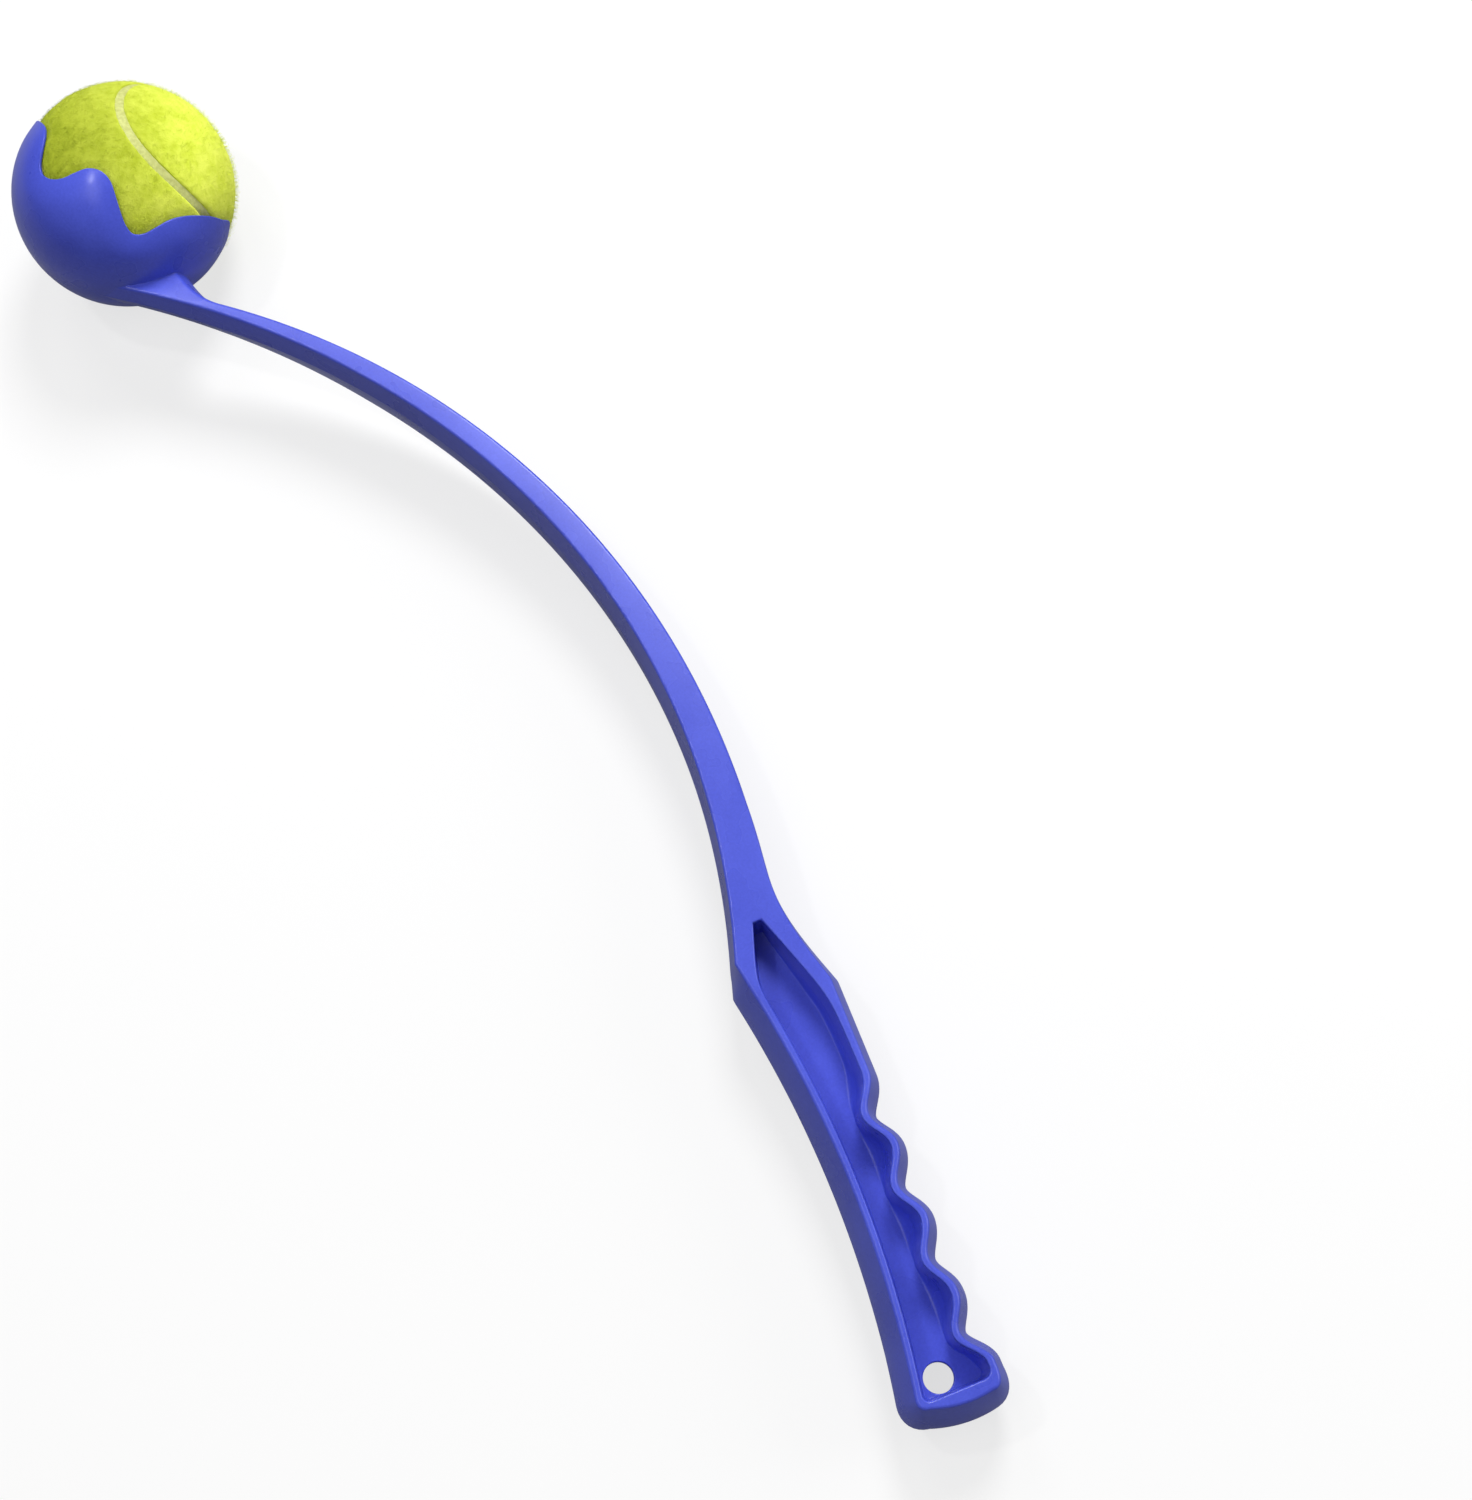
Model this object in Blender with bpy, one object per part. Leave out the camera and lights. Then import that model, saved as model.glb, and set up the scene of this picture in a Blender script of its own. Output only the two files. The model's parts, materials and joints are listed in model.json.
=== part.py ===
"""Ball thrower for dogs, lying on its side with a felt-covered rubber ball in its cup.

The thrower is one moulding: a thin spherical cup, a curved flexing arm and a hollow-sided handle.
Its own plane is XY, with the ball's centre at the origin and Z across its thickness, until the
last step lays it down on the points that it rests on. Lengths are metres, angles are degrees.
"""

import math

import bmesh
import bpy
from mathutils import Euler, Matrix, Vector

# Ball
ball_diameter = 0.0626
felt_thickness = 0.0020
core_wall = 0.0034
seam_width = 0.0030
seam_sink = 0.0005
touch_gap = 0.0003
ball_turn_deg = (-3.0, -25.5, -27.5)
seam_bend_share = 0.72

# Cup
ball_clearance = 0.0005
cup_wall = 0.0012
cup_set_back = 0.0018
mouth_deg = 64.0
# Rim: degrees around the mouth axis from the arm's side, and degrees away from the mouth axis.
rim_deg = (
    (0, 82), (8, 85.4), (19, 90.2), (28.6, 96.3), (35.7, 102.2), (40.2, 108), (43, 114.5),
    (46, 121.3), (51, 125), (58, 123.6), (65, 119.2), (71.5, 113.8), (78, 108.3), (85, 106),
    (92, 107.6), (98, 112.2), (104.5, 117), (112.5, 119.2), (120, 118), (123.7, 113.5),
    (124.8, 107.5), (126, 100.5), (128, 93.5), (132, 89), (142, 87.3), (154, 85.5), (167, 83.4),
    (180, 82),
)

# Arm
arm_reach = 0.2999
arm_reach_deg = -52.69
arm_leave_deg = -100.0
arm_arrive_deg = -86.6
arm_start_pull_share = 0.306
arm_end_pull_share = 0.387
# Width along the arm: the four control values of a cubic from the cup to the kink.
arm_width_curve = (0.0016, 0.0078, 0.0050, 0.0130)
arm_thickness_at_cup = 0.0110
arm_draft = 0.0011
neck_end_share = 0.13
neck_deg = -60.5
neck_blend = 0.0082
neck_bulge = 0.0028
root_lead_deg = 4.0
shoulder_start_share = 0.87
shoulder_rise_deg = 16.5
shoulder_leave_pull = 0.0235
shoulder_arrive_pull = 0.0310

# Handle
handle_deg = -68.08
handle_length = 0.1295
handle_thickness = 0.0280
spine_hollow = 0.0065
spine_bulge = 0.0043
finger_bulge = 0.0032
heel_bulge = 0.0048
bulge_run = 0.0060
heel_bulge_run = 0.0140
shoulder_along = 0.0130
shoulder_across = 0.0229
groove_start = 0.0405
groove_pitch = 0.0209
groove_count = 4
groove_floor = 0.0182
crest_height = 0.0046
crest_fall = 0.00025
heel_flare = 0.0058
groove_skew = 1.1
heel_slant = 0.0022
heel_corner = 0.0034
heel_bow = 0.0012

# Recess in each side of the handle, and the hole to hang it by
web_thickness = 0.0032
spine_rim = 0.0019
finger_rim = 0.0020
heel_rim = 0.0026
recess_tip_along = 0.0090
recess_tip_across = 0.0102
recess_tip_width = 0.0020
recess_spine_slope = -0.35
recess_finger_slope = 0.344
recess_blend = 0.0020
recess_corner = 0.0024
floor_edge = 0.0154
floor_step = 0.0034
floor_draft = 0.0010
floor_widens_from_heel = 0.0155
floor_widen_slope = 0.5
fillet_height = 0.0042
# Wall of the recess: shares of the way in from mouth to floor, and of the fillet's height.
fillet_shares = ((0.30, 1.0), (0.62, 0.3), (1.0, 0.0))
hang_hole_diameter = 0.0085
hang_hole_from_heel = 0.0068
hang_hole_across = 0.0097
cut_overrun = 0.0020

# Steps of the faceted surfaces
rim_steps = 108
cup_rings = 12
core_steps = 30
core_rings = 7
seam_steps = 64
panel_rows = 8
neck_steps = 5
arm_steps = 18
shoulder_steps = 12
handle_steps = 44
corner_steps = 4
heel_steps = 4
recess_steps = 50
recess_spread = 0.8
hole_steps = 32
cutter_steps = 56
sharp_deg = 35.0
side_levels = (1.0, 0.55, 0.0, -0.55, -1.0)

# Worked out from the sizes above
ball_radius = ball_diameter / 2
core_radius = ball_radius - felt_thickness - touch_gap
cup_inner = ball_radius + ball_clearance
cup_outer = cup_inner + cup_wall
cup_middle = cup_inner + cup_wall / 3
handle_half = handle_thickness / 2
arm_step_share = (shoulder_start_share - neck_end_share) / arm_steps


def direction(degrees):
    """Unit vector in the thrower's plane."""
    angle = math.radians(degrees)
    return Vector((math.cos(angle), math.sin(angle)))


def on_sphere(way, radius, centre):
    """Point this way from the ball's centre, on a sphere about a centre near it."""
    beside = centre.dot(way)
    return (beside + math.sqrt(beside**2 + radius**2 - centre.length_squared)) * way


cup_pole = -direction(mouth_deg)
kink = arm_reach * direction(arm_reach_deg)
handle_axis = direction(handle_deg)
handle_side = Vector((-handle_axis.y, handle_axis.x))


def on_handle(along, across):
    """Plane point of a place on the handle, from the kink where its spine begins."""
    return kink + along * handle_axis + across * handle_side


def cubic(start, start_pull, end_pull, end, share):
    rest = 1 - share
    return (
        rest**3 * start
        + 3 * rest**2 * share * start_pull
        + 3 * rest * share**2 * end_pull
        + share**3 * end
    )


def quadratic(start, pull, end, share):
    return cubic(start, start.lerp(pull, 2 / 3), end.lerp(pull, 2 / 3), end, share)


def hollow_edge(share):
    """The arm's hollow edge: it leaves the cup tangentially and ends at the kink."""
    start = on_sphere(direction(arm_leave_deg), cup_outer, cup_set_back * cup_pole)
    start_pull = start + arm_start_pull_share * arm_reach * direction(arm_leave_deg + 90)
    end_pull = kink - arm_end_pull_share * arm_reach * direction(arm_arrive_deg)
    return cubic(start, start_pull, end_pull, kink, share)


def crown_edge(share):
    """The arm's outer edge, at the arm's width from the hollow edge."""
    step = 1 / arm_steps**2
    along = (hollow_edge(share + step) - hollow_edge(share - step)).normalized()
    width = cubic(*arm_width_curve, share)
    return hollow_edge(share) + width * Vector((-along.y, along.x))


def spine(along):
    """Height of the spine's hollow over its chord."""
    middle = along / handle_length * 2 - 1
    return spine_hollow * (1 - middle**2)


def finger_edge(along):
    """Distance of the finger side from the spine's chord, with its four grooves."""
    run = (along - groove_start) / groove_pitch
    number = min(max(math.floor(run), 0), groove_count - 1)
    share = min(max(run - number, 0.0), 1.0)
    crest = crest_height - crest_fall * (number + share)
    if number == groove_count - 1:
        crest += share * (heel_flare - crest_height + crest_fall * groove_count)
    wave = math.cos(math.pi * share**groove_skew) ** 2
    if run < 0:
        lead = (along - shoulder_along) / (groove_start - shoulder_along)
        return shoulder_across + lead * (groove_floor + crest_height - shoulder_across)
    return groove_floor + crest * wave


def outline():
    """Stations along the thrower: both edges, half thickness and the bulge of either wall."""
    stations = []

    def add(left, right, half, left_bulge, right_bulge):
        stations.append((left, right, half, left_bulge, right_bulge))

    def arm_half(share):
        thin = arm_thickness_at_cup / 2
        swell = math.sin(min(1.0, share / shoulder_start_share) * math.pi / 2)
        return thin + swell * (handle_half - thin)

    neck_end = crown_edge(neck_end_share)
    neck_start = cup_middle * direction(neck_deg)
    neck_way = (crown_edge(neck_end_share + arm_step_share) - neck_end).normalized()
    neck_pull = neck_end - neck_blend * neck_way
    root = cup_middle * direction(arm_leave_deg - root_lead_deg)
    add(root, neck_start, arm_half(0), 0, neck_bulge)
    for step in range(neck_steps):
        share = step / neck_steps
        right = quadratic(neck_start, neck_pull, neck_end, (step + 1) / (neck_steps + 1))
        part = neck_end_share * share
        right_bulge = neck_bulge + share * (arm_draft - neck_bulge)
        add(hollow_edge(part), right, arm_half(part), arm_draft * share, right_bulge)

    for step in range(arm_steps):
        share = neck_end_share + arm_step_share * step
        add(hollow_edge(share), crown_edge(share), arm_half(share), arm_draft, arm_draft)

    start = crown_edge(shoulder_start_share)
    before = crown_edge(shoulder_start_share - arm_step_share)
    end = on_handle(shoulder_along, shoulder_across)
    start_pull = start + shoulder_leave_pull * (start - before).normalized()
    end_pull = end - shoulder_arrive_pull * direction(handle_deg + shoulder_rise_deg)
    kink_step = shoulder_steps * 3 // 4
    for step in range(shoulder_steps):
        right = cubic(start, start_pull, end_pull, end, step / shoulder_steps)
        swell = max(0.0, step / shoulder_steps * 2 - 1)
        right_bulge = arm_draft + swell * (finger_bulge - arm_draft)
        if step <= kink_step:
            share = shoulder_start_share + (1 - shoulder_start_share) * step / kink_step
            add(hollow_edge(share), right, arm_half(share), arm_draft, right_bulge)
        else:
            along = shoulder_along * (step - kink_step) / (shoulder_steps - kink_step)
            swell = min(1.0, along / bulge_run)
            left_bulge = arm_draft + swell * (spine_bulge - arm_draft)
            add(on_handle(along, spine(along)), right, handle_half, left_bulge, right_bulge)

    last = handle_length - heel_corner
    for step in range(handle_steps + 1):
        along = shoulder_along + (last - shoulder_along) * step / handle_steps
        left = on_handle(along, spine(along))
        swell = max(0.0, 1 - (last - along) / heel_bulge_run)
        left_bulge = spine_bulge + swell * (heel_bulge - spine_bulge)
        add(left, on_handle(along, finger_edge(along)), handle_half, left_bulge, finger_bulge)

    low = on_handle(handle_length, 0)
    low_start = on_handle(last, spine(last))
    high_start = on_handle(last, finger_edge(last))
    high = on_handle(handle_length + heel_slant, finger_edge(handle_length))
    low_end = low + heel_corner * (high - low).normalized()
    high_end = high - heel_corner * (high - low).normalized()
    for step in range(1, corner_steps + 1):
        share = step / corner_steps
        left = quadratic(low_start, low, low_end, share)
        right = quadratic(high_start, high, high_end, share)
        right_bulge = finger_bulge + share * (heel_bulge - finger_bulge)
        add(left, right, handle_half, heel_bulge, right_bulge)
    for step in range(1, heel_steps):
        share = step / heel_steps
        bow = heel_bow * (1 - (1 - share) ** 2) * handle_axis
        left = low_end.lerp(high_end, share / 2) + bow
        right = high_end.lerp(low_end, share / 2) + bow
        add(left, right, handle_half, heel_bulge, heel_bulge)
    return stations


def around(lefts, rights):
    """One closed list that runs down the left edge and back up the right one."""
    return list(lefts) + list(reversed(rights))


def paired_caps(count):
    """Quads that close a lofted end, across from each left point to its right one."""
    last = 2 * count - 1
    return [(i, i + 1, last - 1 - i, last - i) for i in range(count - 1)]


def loft(name, loops, caps):
    """Closed mesh through equal loops of points, with the same caps on its first and last loop."""
    mesh = bmesh.new()
    rows = [[mesh.verts.new(point) for point in loop] for loop in loops]
    count = len(rows[0])
    for lower, upper in zip(rows, rows[1:]):
        for i in range(count):
            j = (i + 1) % count
            mesh.faces.new((lower[i], lower[j], upper[j], upper[i]))
    for row in (rows[0], rows[-1]):
        for cap in caps:
            mesh.faces.new([row[i] for i in cap])
    return finished(name, mesh)


def finished(name, mesh):
    """Turns the faces outwards and makes the object."""
    bmesh.ops.recalc_face_normals(mesh, faces=mesh.faces)
    data = bpy.data.meshes.new(name)
    mesh.to_mesh(data)
    mesh.free()
    data.shade_smooth()
    data.set_sharp_from_angle(angle=math.radians(sharp_deg))
    piece = bpy.data.objects.new(name, data)
    bpy.context.collection.objects.link(piece)
    return piece


def guide(piece):
    """Marks an object that only shapes others."""
    piece.hide_render = True
    piece.display_type = "WIRE"
    return piece


def boolean(piece, tool, operation):
    step = piece.modifiers.new(tool.name, "BOOLEAN")
    step.operation = operation
    step.object = tool
    step.solver = "EXACT"


def arm_and_handle():
    """The flat body of the thrower, thickest at mid-plane where its two mould halves met."""
    stations = outline()
    lefts = [station[0] for station in stations]
    rights = [station[1] for station in stations]
    edge = around(lefts, rights)
    halves = around([s[2] for s in stations], [s[2] for s in stations])
    bulges = around([s[3] for s in stations], [s[4] for s in stations])
    count = len(edge)
    loops = []
    for level in side_levels:
        loop = []
        for i, point in enumerate(edge):
            to_point = (point - edge[i - 1]).normalized()
            from_point = (edge[(i + 1) % count] - point).normalized()
            along = (to_point + from_point).normalized()
            outwards = Vector((along.y, -along.x))
            place = point + bulges[i] * (1 - level**2) * outwards
            loop.append(Vector((place.x, place.y, level * halves[i])))
        loops.append(loop)
    return loft("thrower", loops, paired_caps(len(stations)))


def soft_least(first, second, blend):
    return (first + second - math.hypot(first - second, blend)) / 2


def soft_most(first, second, blend):
    return (first + second + math.hypot(first - second, blend)) / 2


def rounded_end(along, end, radius):
    """How far a corner of the given radius draws an edge in, this near to the end."""
    into = min(max((along - end + radius) / radius, 0.0), 1.0)
    return radius * (1 - math.sqrt(1 - into**2))


def recess_edges(share, inset):
    """Left and right edge of the recess at its mouth, or at its floor when inset is 1."""
    top = -recess_tip_along + inset * floor_draft
    bottom = handle_length + heel_slant / 2 - heel_rim - inset * floor_draft
    along = top + (bottom - top) * math.sin(share * math.pi / 2) ** recess_spread
    past_tip = along + recess_tip_along
    from_left = recess_tip_across - recess_tip_width / 2 + recess_spine_slope * past_tip
    left = soft_most(from_left, spine(along) + spine_rim, recess_blend)
    from_right = recess_tip_across + recess_tip_width / 2 + recess_finger_slope * past_tip
    if inset:
        left += floor_draft / 2
        widening = max(0.0, along - handle_length + floor_widens_from_heel) * floor_widen_slope
        from_right -= floor_step * min(1.0, past_tip / (shoulder_along + recess_tip_along))
        right = soft_least(from_right, floor_edge + widening, recess_blend)
        right = min(right, finger_edge(along) - finger_rim - floor_draft)
        right = max(right, left + floor_draft)
    else:
        right = soft_least(from_right, finger_edge(along) - finger_rim, recess_blend)
    drawn = rounded_end(along, bottom, recess_corner)
    return on_handle(along, left + drawn), on_handle(along, right - drawn)


def recess_cutter(name, side):
    """Cutter for the hollow on one side of the handle: a steep mouth over a filleted floor."""
    shares = [step / recess_steps for step in range(recess_steps + 1)]
    mouth = [recess_edges(share, 0) for share in shares]
    floor = [recess_edges(share, 1) for share in shares]
    web = web_thickness / 2
    levels = [(0.0, handle_half + cut_overrun), (0.0, handle_half)]
    levels += [(share, web + rise * fillet_height) for share, rise in fillet_shares]
    loops = []
    for share, height in levels:
        lefts = [m[0].lerp(f[0], share) for m, f in zip(mouth, floor)]
        rights = [m[1].lerp(f[1], share) for m, f in zip(mouth, floor)]
        loops.append([Vector((p.x, p.y, side * height)) for p in around(lefts, rights)])
    return guide(loft(name, loops, paired_caps(len(shares))))


def hole_cutter():
    """Cutter for the round hole through the web."""
    middle = on_handle(handle_length - hang_hole_from_heel, hang_hole_across)
    half = web_thickness / 2 + cut_overrun
    ring = []
    for step in range(hole_steps):
        offset = hang_hole_diameter / 2 * direction(360 * step / hole_steps)
        ring.append(middle + offset)
    loops = [[Vector((p.x, p.y, height)) for p in ring] for height in (-half, half)]
    return guide(loft("hang_hole_cutter", loops, [tuple(range(hole_steps))]))


def slerp(start, end, share):
    """Unit vector part of the way along the great circle from one to the other."""
    angle = start.angle(end)
    if not angle:
        return start.copy()
    first = math.sin((1 - share) * angle) / math.sin(angle)
    second = math.sin(share * angle) / math.sin(angle)
    return first * start + second * end


def bowl(name, rim, pole, inner, outer, rings, set_back=0.0):
    """Closed shell from a ring of rim directions to its pole, thicker there by the set back."""
    mesh = bmesh.new()
    count = len(rim)
    walls = []
    for radius, centre in ((inner, 0 * pole), (outer, set_back * pole)):
        rows = []
        for ring in range(rings):
            ways = [slerp(way, pole, ring / rings) for way in rim]
            rows.append([mesh.verts.new(on_sphere(way, radius, centre)) for way in ways])
        tip = mesh.verts.new(on_sphere(pole, radius, centre))
        for upper, lower in zip(rows, rows[1:]):
            for i in range(count):
                j = (i + 1) % count
                mesh.faces.new((upper[i], upper[j], lower[j], lower[i]))
        for i in range(count):
            mesh.faces.new((rows[-1][i], rows[-1][(i + 1) % count], tip))
        walls.append(rows[0])
    for i in range(count):
        j = (i + 1) % count
        mesh.faces.new((walls[0][i], walls[0][j], walls[1][j], walls[1][i]))
    return finished(name, mesh)


def through(points, place):
    """Smooth closed curve through (around, away) points, read at a place counted in points."""
    count = len(points)
    index = math.floor(place)
    share = place - index
    before, start, end, after = (Vector(points[(index + k) % count]) for k in (-1, 0, 1, 2))
    for point in (before, start, after, end):
        turns = round((start.x - point.x) / 360)
        point.x += 360 * turns
    return 0.5 * (
        2 * start
        + share * (end - before)
        + share**2 * (2 * before - 5 * start + 4 * end - after)
        + share**3 * (3 * start - before - 3 * end + after)
    )


def cup_rim():
    """Directions of the cup's lobed rim, the same on both sides of the thrower's plane."""
    mirrored = [(360 - a, away) for a, away in reversed(rim_deg[1:-1])]
    points = list(rim_deg) + mirrored
    mouth = direction(mouth_deg).to_3d()
    arm_side = direction(mouth_deg - 90).to_3d()
    across = Vector((0, 0, 1))
    rim = []
    for step in range(rim_steps):
        turn, away = through(points, step / rim_steps * len(points))
        turn, away = math.radians(turn), math.radians(away)
        sideways = math.cos(turn) * arm_side + math.sin(turn) * across
        rim.append(math.cos(away) * mouth + math.sin(away) * sideways)
    return rim


def make_thrower():
    """Cup, arm and handle as one moulding."""
    thrower = arm_and_handle()
    inside = bmesh.new()
    rows = cutter_steps // 2
    bmesh.ops.create_uvsphere(inside, u_segments=cutter_steps, v_segments=rows, radius=cup_middle)
    cutters = [
        recess_cutter("recess_cutter_front", 1),
        recess_cutter("recess_cutter_back", -1),
        hole_cutter(),
        guide(finished("cup_inside_cutter", inside)),
    ]
    for cutter in cutters:
        boolean(thrower, cutter, "DIFFERENCE")
    sizes = (cup_inner, cup_outer, cup_rings, cup_set_back)
    cup = guide(bowl("cup_shell", cup_rim(), cup_pole.to_3d(), *sizes))
    boolean(thrower, cup, "UNION")
    return thrower, cutters + [cup]


def seam_point(turn):
    """Direction of the felt seam's centre line, a closed curve that swings over the ball."""
    bend = 1 - seam_bend_share
    return Vector(
        (
            seam_bend_share * math.cos(turn) + bend * math.cos(3 * turn),
            seam_bend_share * math.sin(turn) - bend * math.sin(3 * turn),
            2 * math.sqrt(seam_bend_share * bend) * math.sin(2 * turn),
        )
    ).normalized()


def beside_seam(turn, offset):
    """Direction at an offset from the seam's centre line, positive towards the first panel."""
    middle = seam_point(turn)
    step = math.pi / seam_steps / 8
    along = (seam_point(turn + step) - seam_point(turn - step)).normalized()
    sideways = middle.cross(along)
    angle = offset / ball_radius
    return math.cos(angle) * middle + math.sin(angle) * sideways


def felt_panel(name, flip):
    """One of the two dumbbell-shaped felts, from tip to tip across matching seam points."""
    edge = seam_width / 2 + touch_gap
    half = seam_steps // 2
    mesh = bmesh.new()
    turn = Matrix.Rotation(math.pi, 4, "X")
    sheets = []
    for radius in (core_radius + touch_gap, ball_radius):
        rows = []
        for step in range(half + 1):
            place = -math.pi / 4 + math.pi * step / half
            start = beside_seam(place, edge)
            end = beside_seam(-math.pi / 2 - place, edge)
            ways = [slerp(start, end, k / panel_rows) for k in range(panel_rows + 1)]
            if step in (0, half):
                ways = ways[:1]
            if flip:
                ways = [turn @ way for way in ways]
            rows.append([mesh.verts.new(radius * way) for way in ways])
        for upper, lower in zip(rows, rows[1:]):
            for k in range(panel_rows):
                corners = (upper[min(k, len(upper) - 1)], upper[min(k + 1, len(upper) - 1)])
                corners += (lower[min(k + 1, len(lower) - 1)], lower[min(k, len(lower) - 1)])
                mesh.faces.new(list(dict.fromkeys(corners)))
        sheets.append(around([row[0] for row in rows], [row[-1] for row in rows[1:-1]]))
    inner, outer = sheets
    for i in range(len(inner)):
        j = (i + 1) % len(inner)
        mesh.faces.new((inner[i], inner[j], outer[j], outer[i]))
    return finished(name, mesh)


def felt_seam():
    """The rubber seam that fills the space between the two felts."""
    radii = (core_radius + touch_gap, ball_radius - seam_sink)
    half = seam_width / 2
    corners = ((radii[0], -half), (radii[0], half), (radii[1], half), (radii[1], -half))
    mesh = bmesh.new()
    rows = []
    for step in range(seam_steps):
        turn = -math.pi / 4 + 2 * math.pi * step / seam_steps
        ways = [(radius, beside_seam(turn, offset)) for radius, offset in corners]
        rows.append([mesh.verts.new(radius * way) for radius, way in ways])
    for i, row in enumerate(rows):
        following = rows[(i + 1) % seam_steps]
        for k in range(4):
            mesh.faces.new((row[k], row[(k + 1) % 4], following[(k + 1) % 4], following[k]))
    return finished("felt_seam", mesh)


def core_half(name, side):
    """One of the two moulded rubber cups that are joined into the ball's hollow core."""
    step_back = touch_gap / 2 / core_radius
    rim = []
    for step in range(core_steps):
        flat = direction(360 * step / core_steps)
        rim.append(Vector((flat.x, flat.y, side * step_back)).normalized())
    pole = Vector((0, 0, side))
    return bowl(name, rim, pole, core_radius - core_wall, core_radius, core_rings)


def make_ball():
    pieces = [
        core_half("ball_core_half_a", 1),
        core_half("ball_core_half_b", -1),
        felt_panel("felt_panel_a", False),
        felt_panel("felt_panel_b", True),
        felt_seam(),
    ]
    carrier = bpy.data.objects.new("ball_centre", None)
    bpy.context.collection.objects.link(carrier)
    for piece in pieces:
        piece.rotation_euler = Euler([math.radians(turn) for turn in ball_turn_deg])
        piece.parent = carrier
    return carrier, pieces


def longest_outer_run(points):
    """Ends of the longest straight run that rests on a row of (along, across) points."""
    runs = []
    start = 0
    while start < len(points) - 1:
        along, across = points[start]
        slopes = [(p[1] - across) / (p[0] - along) for p in points[start + 1 :]]
        end = start + 1 + slopes.index(max(slopes))
        runs.append((points[start], points[end]))
        start = end
    return max(runs, key=lambda run: run[1][0] - run[0][0])


def resting_turn():
    """Turn that lays the ball and the lower rim of the handle's finger side on the ground."""
    steps = range(1, handle_steps + 1)
    alongs = [shoulder_along + (handle_length - shoulder_along) * k / handle_steps for k in steps]
    crests = [(shoulder_along, shoulder_across)] + [(a, finger_edge(a)) for a in alongs]
    near, far = (on_handle(*place).to_3d() for place in longest_outer_run(crests))
    near.z = far.z = -handle_half
    edge = (far - near).normalized()
    reach = near - near.dot(edge) * edge
    lean = math.acos(ball_radius / reach.length)
    down = math.cos(lean) * reach.normalized() + math.sin(lean) * reach.normalized().cross(edge)
    return (-down).rotation_difference(Vector((0, 0, 1)))


def lie_down(solids, carried):
    """Rests the part on the ground, with the origin under the middle of its box."""
    lying = bpy.data.objects.new("lying", None)
    bpy.context.collection.objects.link(lying)
    for piece in carried:
        piece.parent = lying
    lying.rotation_mode = "QUATERNION"
    lying.rotation_quaternion = resting_turn()
    bpy.context.view_layer.update()
    graph = bpy.context.evaluated_depsgraph_get()
    places = []
    for solid in solids:
        shown = solid.evaluated_get(graph)
        places += [shown.matrix_world @ vertex.co for vertex in shown.to_mesh().vertices]
        shown.to_mesh_clear()
    low = Vector([min(place[axis] for place in places) for axis in range(3)])
    high = Vector([max(place[axis] for place in places) for axis in range(3)])
    lying.location = (-(low.x + high.x) / 2, -(low.y + high.y) / 2, -low.z)


def material(name, colour, roughness):
    made = bpy.data.materials.new(name)
    made.use_nodes = True
    shader = made.node_tree.nodes["Principled BSDF"]
    shader.inputs["Base Color"].default_value = (*colour, 1)
    shader.inputs["Roughness"].default_value = roughness
    shader.inputs["Metallic"].default_value = 0
    return made


def main():
    for old in list(bpy.data.objects):
        bpy.data.objects.remove(old, do_unlink=True)

    thrower, guides = make_thrower()
    ball, ball_pieces = make_ball()

    thrower.data.materials.append(material("blue_polypropylene", (0.045, 0.062, 0.50), 0.3))
    rubber = material("ball_rubber", (0.03, 0.03, 0.03), 0.7)
    felt = material("yellow_felt", (0.62, 0.80, 0.06), 0.95)
    cement = material("seam_rubber", (0.66, 0.64, 0.44), 0.8)
    for piece, look in zip(ball_pieces, (rubber, rubber, felt, felt, cement)):
        piece.data.materials.append(look)

    lie_down([thrower, *ball_pieces], [thrower, ball, *guides])


main()
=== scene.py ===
import bisect
import json
import math
import random

import bmesh
import bpy
from mathutils import Euler, Matrix, Vector, kdtree, noise


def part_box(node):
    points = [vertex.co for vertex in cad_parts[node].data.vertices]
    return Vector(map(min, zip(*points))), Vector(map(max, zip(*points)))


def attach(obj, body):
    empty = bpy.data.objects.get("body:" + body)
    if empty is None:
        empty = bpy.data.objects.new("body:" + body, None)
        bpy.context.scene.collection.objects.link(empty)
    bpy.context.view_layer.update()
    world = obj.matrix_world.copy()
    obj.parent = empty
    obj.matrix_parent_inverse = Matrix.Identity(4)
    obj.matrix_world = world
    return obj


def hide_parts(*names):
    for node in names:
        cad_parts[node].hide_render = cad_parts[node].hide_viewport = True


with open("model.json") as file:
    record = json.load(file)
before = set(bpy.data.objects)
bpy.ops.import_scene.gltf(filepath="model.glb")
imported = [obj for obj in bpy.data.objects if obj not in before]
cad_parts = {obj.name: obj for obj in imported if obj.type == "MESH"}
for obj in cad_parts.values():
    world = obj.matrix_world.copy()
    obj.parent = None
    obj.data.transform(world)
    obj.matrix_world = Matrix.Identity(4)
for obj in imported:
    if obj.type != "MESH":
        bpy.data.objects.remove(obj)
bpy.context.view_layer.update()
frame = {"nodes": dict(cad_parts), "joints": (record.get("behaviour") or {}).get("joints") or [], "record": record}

# Shapes are worked out in millimetres, flat in the thrower's own plane with the ball's centre at the
# origin, and then laid down with the frame: its side faces give the plane, its joint the cup's mouth.
mm = 0.001
tiny = 0.001  # millimetres; closer than this, two points count as one
mouthDeg = 64
mountAxes = {mount["name"]: mount["axis"] for mount in frame["record"]["mounts"]}
sideAxis = Vector(mountAxes["upper_side_face"]).normalized()
slideAxis = Vector(frame["joints"][0]["axis"])
mouthAxis = (slideAxis - slideAxis.dot(sideAxis) * sideAxis).normalized()
feltCorners = [corner for node in ("felt_panel_a", "felt_panel_b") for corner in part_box(node)]
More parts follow.
